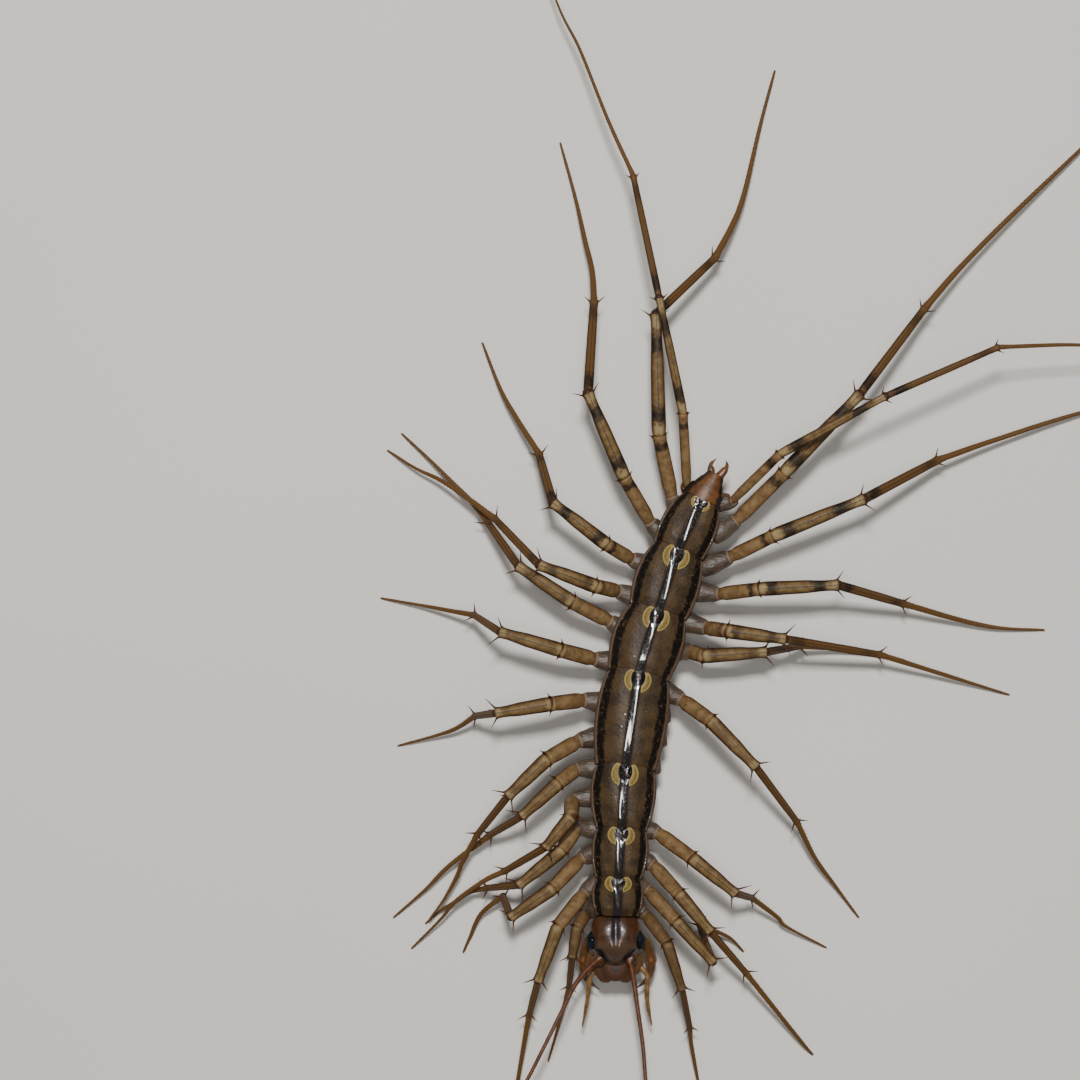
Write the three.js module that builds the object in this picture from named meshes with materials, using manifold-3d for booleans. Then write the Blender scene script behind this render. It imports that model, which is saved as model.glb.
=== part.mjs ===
// House centipede, life size, standing still on its feet.
// Millimetres, +Z up, floor at z = 0, head towards -Y, the animal's right side towards -X.

import * as THREE from 'three';
import { mergeVertices } from 'three/addons/utils/BufferGeometryUtils.js';
import Module from 'manifold-3d';

const wasm = await Module();
wasm.setup();

// Driving dimensions

const PIXELS_PER_MM = 16;
const VIEW_CENTRE = 540;
const VIEW_HEIGHT = 300;
const ORIGIN = new THREE.Vector2(15.77, -4.98);

const GAP = 0.3;
const FLOOR_DEPTH = 3;
const FLOOR_SPREAD = 160;

const BODY_HEIGHT = 4.4;
const BODY_HALF_DEPTH = 1.25;
const BODY_SHARE_OF_PLATE = 0.84;
const PLATE_HEIGHT = 5.45;
const PLATE_HALF_THICKNESS = 0.42;
const PLATE_DROP = 0.55;
const TRUNK_SIDES = 12;

const LEG_SIDES = 6;
const PREFEMUR_RADII = [0.42, 0.54, 0.43];
const FEMUR_RADII = [0.48, 0.44, 0.38];
const TIBIA_RADII = [0.3, 0.28, 0.26];
const TARSUS_RADIUS = 0.25;
const CLAW_RADIUS = 0.12;
const JOINT_OVERLAP = 0.14;
const TARSUS_STEPS = 7;

// Spines round the far end of each length: reach, and angles round the leg from its left
const SPINE_RADIUS = 0.24;
const SPINE_SIDES = 4;
const SPINE_LEAN = 0.7;
const SPINE_SETBACK = 0.12;
const PREFEMUR_SPINES = { reach: 0.55, angles: [15, 170] };
const KNEE_SPINES = { reach: 0.8, angles: [-5, 185] };
const ANKLE_SPINES = { reach: 0.72, angles: [10, 170] };

const COXA_DEPTH = 0.9;
const COXA_ROOT_RADIUS = 0.62;
const COXA_END_RADIUS = 0.46;
const COXA_SIDES = 6;

const HEAD_CENTRE = [615.5, 936, 4.35];
const HEAD_HALF_SIZE = [1.52, 2.2, 1.2];
const HEAD_BACK = 909;
const EYE_HALF_SIZE = [0.45, 0.62, 0.52];

// Median line of the back: place in the view and half width of the back plates in millimetres.
// Each entry from the second on is the rear margin of one plate.
const MEDIAN = [
  [616, 909, 1.45],
  [617, 872, 1.62],
  [620, 824, 1.82],
  [624, 763, 2.15],
  [637, 672, 2.28],
  [656, 610, 2.15],
  [676, 550, 1.88],
  [699, 501, 1.5],
];
const TAIL = [
  [699, 501, 0.95],
  [706, 489, 0.85],
  [713, 476, 0.62],
];

// Legs: place in the view and height of each joint.
// hip root on the trunk, hip, prefemur end, knee, ankle, and the points of the tarsus to its tip.
const LEGS = {
  right_01: {
    plate: 1, scale: 0.85, coxa: [594, 908, 4.1], hip: [586, 912, 3.7],
    prefemur: [577, 928, 4.9], knee: [572, 957, 4.9], ankle: [569, 987, 2.5],
    tarsus: [[562, 1013, 1.2], [548, 1062, 0.12]],
  },
  right_02: {
    plate: 1, scale: 0.92, coxa: [596, 884, 4.3], hip: [584, 893, 4.4],
    prefemur: [558, 926, 5.6], knee: [538, 981, 5.2], ankle: [529, 1015, 2.8],
    tarsus: [[518, 1079, 1.0], [511, 1125, 0.12]],
  },
  right_03: {
    plate: 2, scale: 1, coxa: [592, 854, 4.1], hip: [581, 858, 4.2],
    prefemur: [553, 888, 5.6], knee: [511, 917, 5.2], ankle: [503, 896, 2.2],
    tarsus: [[481, 914, 1.2], [470, 937, 0.5], [463, 953, 0.12]],
  },
  right_04: {
    plate: 2, scale: 1, coxa: [590, 828, 4.1], hip: [576, 828, 4.0],
    prefemur: [562, 850, 4.9], knee: [519, 885, 4.7], ankle: [487, 888, 2.4],
    tarsus: [[470, 892, 1.5], [455, 902, 1.0], [440, 911, 0.55], [425, 924, 0.12]],
  },
  right_05: {
    plate: 3, scale: 1, coxa: [588, 797, 4.1], hip: [572, 800, 4.3],
    prefemur: [571, 817, 6.5], knee: [546, 847, 6.2], ankle: [505, 871, 3.6],
    tarsus: [[484, 881, 3.1], [456, 901, 2.3], [440, 920, 1.4], [411, 949, 0.12]],
  },
  right_06: {
    plate: 3, scale: 1, coxa: [590, 768, 4.1], hip: [576, 769, 4.1],
    prefemur: [558, 783, 5.3], knee: [522, 816, 5.2], ankle: [490, 835, 2.4],
    tarsus: [[449, 866, 1.4], [426, 889, 0.8], [393, 918, 0.12]],
  },
  right_07: {
    plate: 4, scale: 1, coxa: [592, 738, 4.1], hip: [578, 741, 4.3],
    prefemur: [547, 759, 6.0], knee: [508, 796, 6.2], ankle: [477, 835, 3.6],
    tarsus: [[463, 861, 2.5], [456, 878, 1.9], [443, 901, 1.4], [429, 920, 1.15]],
  },
  right_08: {
    plate: 4, scale: 1, coxa: [597, 702, 4.1], hip: [583, 700, 4.3],
    prefemur: [550, 704, 6.0], knee: [496, 713, 6.0], ankle: [475, 716, 3.0],
    tarsus: [[457, 728, 1.7], [438, 735, 1.0], [397, 746, 0.12]],
  },
  right_09: {
    plate: 5, scale: 1, coxa: [608, 661, 4.1], hip: [594, 659, 4.3],
    prefemur: [560, 650, 6.0], knee: [500, 632, 6.2], ankle: [474, 615, 3.2],
    tarsus: [[451, 611, 1.9], [425, 606, 1.0], [380, 598, 0.12]],
  },
  right_10: {
    plate: 5, scale: 1, coxa: [621, 629, 4.1], hip: [609, 621, 4.2],
    prefemur: [572, 602, 5.5], knee: [518, 566, 5.4], ankle: [487, 521, 2.4],
    tarsus: [[470, 500, 1.7], [456, 486, 1.3], [430, 460, 0.8], [401, 433, 0.12]],
  },
  right_11: {
    plate: 6, scale: 1, coxa: [633, 596, 4.1], hip: [617, 591, 4.3],
    prefemur: [595, 586, 6.2], knee: [539, 565, 6.9], ankle: [494, 518, 3.7],
    tarsus: [[466, 497, 2.7], [440, 480, 1.9], [415, 468, 1.1], [387, 450, 0.12]],
  },
  right_12: {
    plate: 6, scale: 1, coxa: [645, 564, 4.1], hip: [631, 559, 4.3],
    prefemur: [606, 544, 6.0], knee: [553, 503, 6.4], ankle: [539, 454, 3.2],
    tarsus: [[517, 419, 2.0], [501, 390, 1.1], [482, 342, 0.12]],
  },
  right_13: {
    plate: 7, scale: 1, coxa: [662, 534, 4.1], hip: [650, 522, 4.2],
    prefemur: [624, 477, 6.0], knee: [588, 393, 6.8], ankle: [594, 301, 3.8],
    tarsus: [[592, 270, 2.6], [585, 240, 1.7], [575, 196, 0.8], [560, 142, 0.12]],
  },
  right_14: {
    plate: 7, scale: 0.95, coxa: [678, 511, 4.0], hip: [672, 497, 3.9],
    prefemur: [659, 435, 5.4], knee: [656, 314, 6.0], ankle: [715, 258, 3.8],
    tarsus: [[732, 226, 2.8], [744, 194, 2.0], [760, 126, 0.9], [775, 70, 0.12]],
  },
  right_15: {
    plate: 8, scale: 0.66, coxa: [697, 494, 4.4], hip: [687, 487, 4.5],
    prefemur: [683, 413, 6.8], knee: [659, 297, 8.2], ankle: [633, 175, 6.4],
    tarsus: [[608, 120, 5.4], [580, 50, 4.2], [556, 0, 3.4], [520, -110, 2.4]],
  },
  left_01: {
    plate: 1, scale: 0.85, coxa: [638, 908, 4.1], hip: [646, 915, 4.3],
    prefemur: [667, 943, 5.6], knee: [682, 989, 5.0], ankle: [690, 1028, 2.4],
    tarsus: [[691, 1042, 1.7], [697, 1075, 0.8], [704, 1112, 0.12]],
  },
  left_02: {
    plate: 1, scale: 0.95, coxa: [638, 884, 4.2], hip: [648, 890, 4.2],
    prefemur: [676, 921, 5.6], knee: [713, 962, 5.2], ankle: [699, 924, 2.2],
    tarsus: [[710, 929, 1.8], [730, 938, 0.9], [744, 952, 0.12]],
  },
  left_03: {
    plate: 2, scale: 1, coxa: [642, 859, 4.2], hip: [653, 865, 4.3],
    prefemur: [679, 894, 5.9], knee: [710, 931, 5.7], ankle: [746, 973, 3.4],
    tarsus: [[799, 1039, 0.9], [813, 1055, 0.12]],
  },
  left_04: {
    plate: 2, scale: 1, coxa: [645, 829, 4.2], hip: [658, 833, 4.3],
    prefemur: [692, 858, 5.9], knee: [735, 893, 5.4], ankle: [752, 898, 3.0],
    tarsus: [[777, 917, 1.5], [787, 927, 1.1], [827, 948, 0.12]],
  },
  left_09: {
    plate: 4, scale: 1, coxa: [667, 692, 4.2], hip: [682, 700, 4.3],
    prefemur: [711, 721, 6.0], knee: [756, 767, 6.4], ankle: [797, 822, 3.2],
    tarsus: [[815, 858, 1.8], [836, 887, 0.8], [859, 918, 0.12]],
  },
  left_10: {
    plate: 5, scale: 0.95, coxa: [676, 651, 4.0], hip: [692, 652, 3.9],
    prefemur: [704, 656, 5.0], knee: [766, 652, 5.0], ankle: [800, 646, 2.1],
    tarsus: [[850, 650, 0.9], [905, 660, 0.12]],
  },
  left_11: {
    plate: 5, scale: 1, coxa: [688, 622, 4.2], hip: [707, 628, 4.5],
    prefemur: [728, 631, 6.3], knee: [785, 639, 6.6], ankle: [881, 655, 3.2],
    tarsus: [[945, 675, 1.4], [1010, 695, 0.12]],
  },
  left_12: {
    plate: 6, scale: 1, coxa: [702, 592, 4.2], hip: [719, 594, 4.3],
    prefemur: [760, 589, 6.0], knee: [838, 585, 6.4], ankle: [904, 604, 3.0],
    tarsus: [[960, 620, 1.3], [1000, 628, 0.7], [1045, 630, 0.12]],
  },
  left_13: {
    plate: 6, scale: 1, coxa: [712, 564, 4.2], hip: [730, 557, 4.3],
    prefemur: [773, 536, 5.8], knee: [864, 499, 6.2], ankle: [938, 460, 3.0],
    tarsus: [[995, 440, 1.9], [1080, 413, 0.9], [1170, 392, 0.12]],
  },
  left_14: {
    plate: 7, scale: 0.95, coxa: [722, 530, 3.9], hip: [736, 521, 3.8],
    prefemur: [784, 473, 5.3], knee: [860, 394, 6.2], ankle: [925, 308, 4.0],
    tarsus: [[958, 270, 3.0], [1005, 222, 2.0], [1080, 150, 0.9], [1150, 84, 0.12]],
  },
  left_15: {
    plate: 8, scale: 0.66, coxa: [718, 502, 4.4], hip: [732, 501, 4.5],
    prefemur: [780, 454, 6.8], knee: [886, 396, 9.0], ankle: [999, 347, 8.2],
    tarsus: [[1080, 345, 7.0], [1150, 352, 5.8], [1215, 366, 4.6]],
  },
};

// Hips of the four legs that are gone from the left side
const STUMPS = [
  { plate: 3, coxa: [642, 796, 4.1], hip: [656, 797, 4.1] },
  { plate: 3, coxa: [646, 767, 4.1], hip: [661, 766, 4.1] },
  { plate: 4, coxa: [650, 740, 4.1], hip: [667, 739, 4.1] },
  { plate: 4, coxa: [656, 716, 4.1], hip: [671, 715, 4.1] },
];

// Feelers, palps and venom claws: place in the view, height and radius
const HEAD_PARTS = {
  antenna_right: [
    [600, 958, 4.7, 0.3], [590, 967, 4.9, 0.28], [575, 985, 5.2, 0.26], [561, 1013, 5.3, 0.26],
    [535, 1065, 5.1, 0.26], [492, 1150, 4.4, 0.25], [462, 1240, 3.4, 0.25], [452, 1340, 2.4, 0.12],
  ],
  antenna_left: [
    [629, 958, 4.6, 0.3], [633, 976, 4.7, 0.28], [638, 1011, 4.6, 0.26], [643, 1047, 4.4, 0.26],
    [648, 1100, 4.2, 0.25], [664, 1190, 3.6, 0.25], [690, 1270, 2.9, 0.25], [724, 1350, 2.2, 0.12],
  ],
  palp_right: [
    [599, 962, 3.7, 0.26], [590, 978, 3.5, 0.28], [588, 996, 3.2, 0.25], [582, 1029, 2.3, 0.12],
  ],
  palp_left: [
    [636, 962, 3.6, 0.26], [647, 976, 3.5, 0.28], [647, 999, 3.2, 0.25], [652, 1027, 2.3, 0.12],
  ],
  forcipule_right: [
    [604, 928, 3.0, 0.4], [588, 944, 2.7, 0.42], [583, 961, 2.5, 0.36], [586, 978, 2.4, 0.27],
    [600, 990, 2.4, 0.12],
  ],
  forcipule_left: [
    [628, 928, 3.0, 0.4], [645, 944, 2.7, 0.42], [651, 961, 2.5, 0.36], [648, 978, 2.4, 0.27],
    [634, 990, 2.4, 0.12],
  ],
};
const EYES = { eye_right: [594, 940, 4.55], eye_left: [638, 940, 4.55] };
const GONOPODS = [
  [[710, 482, 4.6], [711, 469, 4.6], [717, 458, 4.5]],
  [[716, 482, 4.6], [724, 472, 4.6], [727, 461, 4.5]],
];

const FINISHES = {
  trunk: new THREE.MeshStandardMaterial({ color: 0x5a4128, roughness: 0.32, metalness: 0 }),
  tail: new THREE.MeshStandardMaterial({ color: 0x8a4a20, roughness: 0.35, metalness: 0 }),
  head: new THREE.MeshStandardMaterial({ color: 0x5c3320, roughness: 0.28, metalness: 0 }),
  leg: new THREE.MeshStandardMaterial({ color: 0x93733f, roughness: 0.42, metalness: 0 }),
  eye: new THREE.MeshStandardMaterial({ color: 0x0d0d12, roughness: 0.18, metalness: 0 }),
  feeler: new THREE.MeshStandardMaterial({ color: 0x7a3010, roughness: 0.45, metalness: 0 }),
};

// A place in the view, seen from straight above, brought to its real place at a given height
function place([px, py, z]) {
  const scale = (VIEW_HEIGHT - z) / VIEW_HEIGHT / PIXELS_PER_MM;
  return new THREE.Vector3((px - VIEW_CENTRE) * scale - ORIGIN.x, (VIEW_CENTRE - py) * scale - ORIGIN.y, z);
}

function solid(geometry) {
  geometry.deleteAttribute('normal');
  geometry.deleteAttribute('uv');
  const merged = mergeVertices(geometry, 1e-5);
  return new wasm.Manifold(new wasm.Mesh({
    numProp: 3,
    vertProperties: Float32Array.from(merged.attributes.position.array),
    triVerts: Uint32Array.from(merged.index.array),
  }));
}

function join(solids) {
  return solids.reduce((whole, piece) => whole.add(piece));
}

// A closed cylinder bent through its stations, with an elliptic section at each
function bend(stations, sides) {
  const steps = stations.length - 1;
  const geometry = new THREE.CylinderGeometry(1, 1, steps, sides, steps);
  const position = geometry.attributes.position;
  const frames = stations.map((station, i) => {
    const before = stations[Math.max(i - 1, 0)].at;
    const after = stations[Math.min(i + 1, steps)].at;
    const along = station.along ?? after.clone().sub(before).normalize();
    const side = new THREE.Vector3(0, 0, 1).cross(along).normalize();
    return { side, up: along.clone().cross(side) };
  });
  for (let i = 0; i < position.count; i += 1) {
    const index = Math.round(steps / 2 - position.getY(i));
    const { at, width, depth = width, drop = 0 } = stations[index];
    const across = position.getX(i);
    const high = position.getZ(i) * depth - drop * across * across;
    const point = at.clone()
      .addScaledVector(frames[index].side, across * width)
      .addScaledVector(frames[index].up, high);
    position.setXYZ(i, point.x, point.y, point.z);
  }
  return solid(geometry);
}

function along(from, to, shares, radii, scale) {
  return shares.map((share, i) => ({ at: from.clone().lerp(to, share), width: radii[i] * scale }));
}

// Past a joint, the next length begins inside the last one
function past(joint, from, reach) {
  return joint.clone().addScaledVector(joint.clone().sub(from).normalize(), reach);
}

function upperLeg(leg, extra = 0) {
  const [hip, joint, knee] = [leg.hip, leg.prefemur, leg.knee].map(place);
  const stations = [
    ...along(past(hip, joint, extra), joint, [0, 0.4, 1], PREFEMUR_RADII, leg.scale),
    ...along(joint, past(knee, joint, JOINT_OVERLAP), [0.14, 0.6, 1], FEMUR_RADII, leg.scale),
  ];
  return bend(stations.map(({ at, width }) => ({ at, width: width + extra })), LEG_SIDES);
}

function lowerLeg(leg) {
  const [knee, ankle] = [leg.knee, leg.ankle].map(place);
  const curve = new THREE.CatmullRomCurve3([leg.ankle, ...leg.tarsus].map(place));
  const tarsus = curve.getSpacedPoints(TARSUS_STEPS).slice(1).map((at, i) => {
    const taper = THREE.MathUtils.smoothstep((i + 1) / TARSUS_STEPS, 0.6, 1);
    return { at, width: THREE.MathUtils.lerp(TARSUS_RADIUS, CLAW_RADIUS, taper) };
  });
  const tibiaScale = Math.max(leg.scale, TARSUS_RADIUS / TIBIA_RADII[1]);
  const tibia = along(past(knee, ankle, JOINT_OVERLAP), ankle, [0, 0.5, 1], TIBIA_RADII, tibiaScale);
  return bend([...tibia, ...tarsus], LEG_SIDES);
}

function aboveFloor(piece) {
  const floor = new THREE.BoxGeometry(FLOOR_SPREAD, FLOOR_SPREAD, FLOOR_DEPTH);
  floor.translate(0, 0, -FLOOR_DEPTH / 2);
  return piece.subtract(solid(floor));
}

function spines(from, to, { reach, angles }, scale) {
  const along = to.clone().sub(from).normalize();
  const side = new THREE.Vector3(0, 0, 1).cross(along).normalize();
  const up = along.clone().cross(side);
  return angles.map((degrees) => {
    const angle = THREE.MathUtils.degToRad(degrees);
    const lean = along.clone().multiplyScalar(SPINE_LEAN)
      .addScaledVector(side, Math.cos(angle))
      .addScaledVector(up, Math.sin(angle))
      .normalize();
    const height = (reach + SPINE_RADIUS) * scale;
    const cone = new THREE.ConeGeometry(SPINE_RADIUS, height, SPINE_SIDES);
    cone.translate(0, height / 2, 0);
    cone.applyQuaternion(new THREE.Quaternion().setFromUnitVectors(new THREE.Vector3(0, 1, 0), lean));
    cone.translate(...to.clone().addScaledVector(along, -SPINE_SETBACK));
    return solid(cone);
  });
}

function plainLeg(leg) {
  return upperLeg(leg).add(lowerLeg(leg));
}

function legSpines(leg) {
  const [hip, joint, knee, ankle] = [leg.hip, leg.prefemur, leg.knee, leg.ankle].map(place);
  return [
    ...spines(hip, joint, PREFEMUR_SPINES, leg.scale),
    ...spines(joint, knee, KNEE_SPINES, leg.scale),
    ...spines(knee, ankle, ANKLE_SPINES, leg.scale),
  ];
}

// The legs with their spines, without a spine that would come within a gap of another leg
function makeLegs() {
  const whole = new Map(Object.entries(LEGS).map(([name, leg]) => [name, plainLeg(leg)]));
  for (const [name, leg] of Object.entries(LEGS)) {
    const others = [...whole].filter(([other]) => other !== name).map(([, other]) => other);
    const free = legSpines(leg).filter((spine) => others.every((other) => spine.minGap(other, GAP) >= GAP));
    whole.set(name, join([whole.get(name), ...free]));
  }
  return [...whole].map(([name, leg]) => [name, aboveFloor(leg)]);
}

// The hip's base, from inside the trunk to a gap short of the leg
function coxa(hip, extra = 0) {
  const leg = place(hip.hip);
  const root = place(hip.coxa);
  root.addScaledVector(leg.clone().sub(root).normalize(), -COXA_DEPTH - extra);
  const out = hip.prefemur ? place(hip.prefemur).sub(leg).normalize() : leg.clone().sub(root).normalize();
  const end = leg.clone().addScaledVector(out, extra - GAP);
  const stations = [
    { at: root, width: COXA_ROOT_RADIUS + extra },
    { at: root.clone().lerp(end, 0.6), width: (COXA_ROOT_RADIUS + COXA_END_RADIUS) / 2 + extra },
    { at: end, width: COXA_END_RADIUS * (hip.scale ?? 1) + extra, along: out },
  ];
  return bend(stations, COXA_SIDES);
}

const HIPS = [...Object.values(LEGS), ...STUMPS];

function hipsOn(plate) {
  return HIPS.filter((hip) => hip.plate === plate);
}

// Stations of the trunk between two margins, each end drawn in by half a gap
function trunkLine(margins, shares) {
  const [front, rear] = margins.map(([px, py]) => place([px, py, 0]));
  const along = rear.clone().sub(front);
  const half = GAP / 2 / along.length();
  return shares.map((share) => {
    const t = THREE.MathUtils.lerp(half, 1 - half, share);
    return {
      at: front.clone().lerp(rear, t),
      half: THREE.MathUtils.lerp(margins[0][2], margins[1][2], t),
    };
  });
}

function trunkLength(plate) {
  const margins = [MEDIAN[plate - 1], MEDIAN[plate]];
  const ends = [0, 1].map((side) => endDirection(plate - 1 + side));
  const body = trunkLine(margins, [0, 0.5, 1]).map(({ at, half }, i) => ({
    at: at.clone().setZ(BODY_HEIGHT),
    width: half * BODY_SHARE_OF_PLATE,
    depth: BODY_HALF_DEPTH,
    along: i === 1 ? undefined : ends[i / 2],
  }));
  const swell = [0.9, 1.02, 1.02, 0.9];
  const back = trunkLine(margins, [0, 0.3, 0.7, 1]).map(({ at, half }, i) => ({
    at: at.clone().setZ(PLATE_HEIGHT),
    width: half * swell[i],
    depth: PLATE_HALF_THICKNESS,
    drop: PLATE_DROP,
    along: i % 3 ? undefined : ends[i / 3],
  }));
  return bend(body, TRUNK_SIDES).add(bend(back, TRUNK_SIDES));
}

// Direction of the median line at a margin, shared by the two lengths that meet there
function endDirection(index) {
  const points = [...MEDIAN, TAIL[2]].map(([px, py]) => place([px, py, 0]));
  const before = points[Math.max(index - 1, 0)];
  const after = points[index + 1];
  return after.clone().sub(before).normalize();
}

function makeTrunk(plate) {
  const neighbours = [...hipsOn(plate - 1), ...hipsOn(plate + 1)];
  const clear = neighbours.reduce((left, hip) => left.subtract(coxa(hip, GAP)), trunkLength(plate));
  const whole = join([clear, ...hipsOn(plate).map((hip) => coxa(hip))]);
  const apart = hipsOn(plate + 1).reduce((left, hip) => left.subtract(coxa(hip, GAP)), whole);
  return clearOfLegs(apart, plate);
}

// A gap all round the root of each leg that comes near this length of the trunk
function clearOfLegs(whole, plate) {
  const legs = HIPS.filter((hip) => hip.prefemur && Math.abs(hip.plate - plate) < 2);
  return legs.reduce((left, leg) => left.subtract(upperLeg(leg, GAP)), whole);
}

function makeTail() {
  const line = TAIL.map(([px, py, half]) => ({ at: place([px, py, 0]), half }));
  const start = endDirection(MEDIAN.length - 1);
  line[0].at.addScaledVector(start, GAP);
  const body = line.map(({ at, half }, i) => ({
    at: at.clone().setZ(BODY_HEIGHT + 0.1 * i),
    width: half * 0.8,
    depth: BODY_HALF_DEPTH * [0.85, 0.7, 0.45][i],
    along: i ? undefined : start,
  }));
  const back = line.map(({ at, half }, i) => ({
    at: at.clone().setZ(PLATE_HEIGHT - 0.15 * i),
    width: half * [1.15, 1.1, 0.8][i],
    depth: PLATE_HALF_THICKNESS * 0.8,
    drop: PLATE_DROP * 0.5,
    along: i ? undefined : start,
  }));
  const claws = GONOPODS.map((points) => bend(points.map((point, i) => ({
    at: place(point),
    width: [0.32, 0.28, 0.12][i],
  })), LEG_SIDES));
  const clear = hipsOn(MEDIAN.length - 1).reduce(
    (left, hip) => left.subtract(coxa(hip, GAP)),
    bend(body, TRUNK_SIDES).add(bend(back, TRUNK_SIDES)),
  );
  const coxae = hipsOn(MEDIAN.length).map((hip) => coxa(hip));
  return clearOfLegs(join([clear, ...claws, ...coxae]), MEDIAN.length);
}

function ellipsoid(centre, halfSize, extra, segments, rings) {
  const geometry = new THREE.SphereGeometry(1, segments, rings);
  geometry.rotateX(Math.PI / 2);
  geometry.scale(...halfSize.map((half) => half + extra));
  geometry.translate(...place(centre));
  return solid(geometry);
}

function headPart(points, extra = 0) {
  const curve = new THREE.CatmullRomCurve3(points.map(place));
  const last = points.length - 1;
  const steps = last * 2;
  const stations = Array.from({ length: steps + 1 }, (_, i) => {
    const whole = Math.min(Math.floor(i / 2), last - 1);
    const part = i / 2 - whole;
    const radius = THREE.MathUtils.lerp(points[whole][3], points[whole + 1][3], part);
    return { at: curve.getPoint(i / steps), width: radius + extra };
  });
  stations[0].at.addScaledVector(curve.getTangent(0), -extra);
  return bend(stations, LEG_SIDES);
}

function makeHead() {
  const skull = ellipsoid(HEAD_CENTRE, HEAD_HALF_SIZE, 0, 16, 10);
  const behind = new THREE.BoxGeometry(20, 20, 20);
  const back = place([HEAD_CENTRE[0], HEAD_BACK, 0]);
  behind.translate(back.x, back.y - GAP / 2 + 10, 0);
  const sockets = [
    ...Object.values(EYES).map((centre) => ellipsoid(centre, EYE_HALF_SIZE, GAP, 12, 8)),
    ...Object.values(HEAD_PARTS).map((points) => headPart(points, GAP)),
    ...hipsOn(1).map((hip) => coxa(hip, GAP)),
    solid(behind),
  ];
  return sockets.reduce((left, socket) => left.subtract(socket), skull);
}

function largest(whole) {
  const pieces = whole.decompose();
  return pieces.reduce((best, piece) => (piece.volume() > best.volume() ? piece : best));
}

const centipede = new THREE.Group();

function add(name, whole, finish) {
  const mesh = largest(whole).getMesh();
  const geometry = new THREE.BufferGeometry();
  geometry.setAttribute('position', new THREE.BufferAttribute(mesh.vertProperties, 3));
  geometry.setIndex(new THREE.BufferAttribute(mesh.triVerts, 1));
  const node = new THREE.Mesh(geometry, finish);
  node.name = name;
  centipede.add(node);
}

add('head', makeHead(), FINISHES.head);
for (const [name, centre] of Object.entries(EYES)) {
  add(name, ellipsoid(centre, EYE_HALF_SIZE, 0, 12, 8), FINISHES.eye);
}
for (const [name, points] of Object.entries(HEAD_PARTS)) {
  add(name, headPart(points), FINISHES.feeler);
}
for (let plate = 1; plate < MEDIAN.length; plate += 1) {
  add(`trunk_${plate}`, makeTrunk(plate), FINISHES.trunk);
}
add('tail', makeTail(), FINISHES.tail);
for (const [name, leg] of makeLegs()) {
  add(`leg_${name}`, leg, FINISHES.leg);
}

export default centipede;
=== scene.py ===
import math
import random

import bmesh
import bpy
from mathutils import Matrix, Vector


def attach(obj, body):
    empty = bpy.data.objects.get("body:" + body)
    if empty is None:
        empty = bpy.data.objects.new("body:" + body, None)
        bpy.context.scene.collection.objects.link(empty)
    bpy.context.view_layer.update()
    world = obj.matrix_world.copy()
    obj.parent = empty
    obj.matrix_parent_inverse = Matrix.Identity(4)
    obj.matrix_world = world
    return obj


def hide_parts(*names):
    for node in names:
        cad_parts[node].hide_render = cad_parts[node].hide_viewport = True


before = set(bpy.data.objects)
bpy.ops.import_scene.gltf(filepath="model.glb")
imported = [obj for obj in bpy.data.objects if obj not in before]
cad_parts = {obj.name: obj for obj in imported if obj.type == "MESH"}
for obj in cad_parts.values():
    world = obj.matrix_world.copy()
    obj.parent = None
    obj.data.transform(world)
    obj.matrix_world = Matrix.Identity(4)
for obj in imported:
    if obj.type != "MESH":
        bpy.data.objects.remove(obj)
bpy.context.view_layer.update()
random.seed(11)

# Lengths are in millimetres until a piece is finished, and places are pixels of the 1080 pixel view
MM = 0.001
PIXELS_PER_MM = 16
VIEW_CENTRE = 540
VIEW_WIDTH = 1080
VIEW_HEIGHT = 300
ORIGIN = (15.77, -4.98)
SENSOR = 36
UP = Vector((0, 0, 1))
SPIKES_IN_BATCH = 50

# Grain of the two skins, height of the trunk's middle, then height, wall and overlap of the plates
TRUNK_GRAIN = 0.085
HEAD_GRAIN = 0.05
TRUNK_MIDDLE = 4.3
PLATE_TOP = 5.8
PLATE_WALL = 0.07
PLATE_OVERLAP = 0.05
TAIL_WALL = 0.08

# Keels round a leg segment, length between the rings of a foot, and radius of the joint pegs
KEELS = 6
FOOT_RING = 0.24
PEG = 0.075

# Rings and bristles of the antennae and palps
ANTENNA_RINGS = 170
ANTENNA_BRISTLES = 300
PALP_RINGS = 5
PALP_BRISTLES = 40

# Median line of the back: place in the view and half width of the back plates
MEDIAN = [
    (616, 909, 1.50), (617, 872, 1.62), (620, 824, 1.80), (624, 763, 2.12),
    (637, 672, 2.22), (656, 610, 2.10), (676, 550, 1.86), (699, 501, 1.42), (713, 476, 0.70),
]

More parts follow.
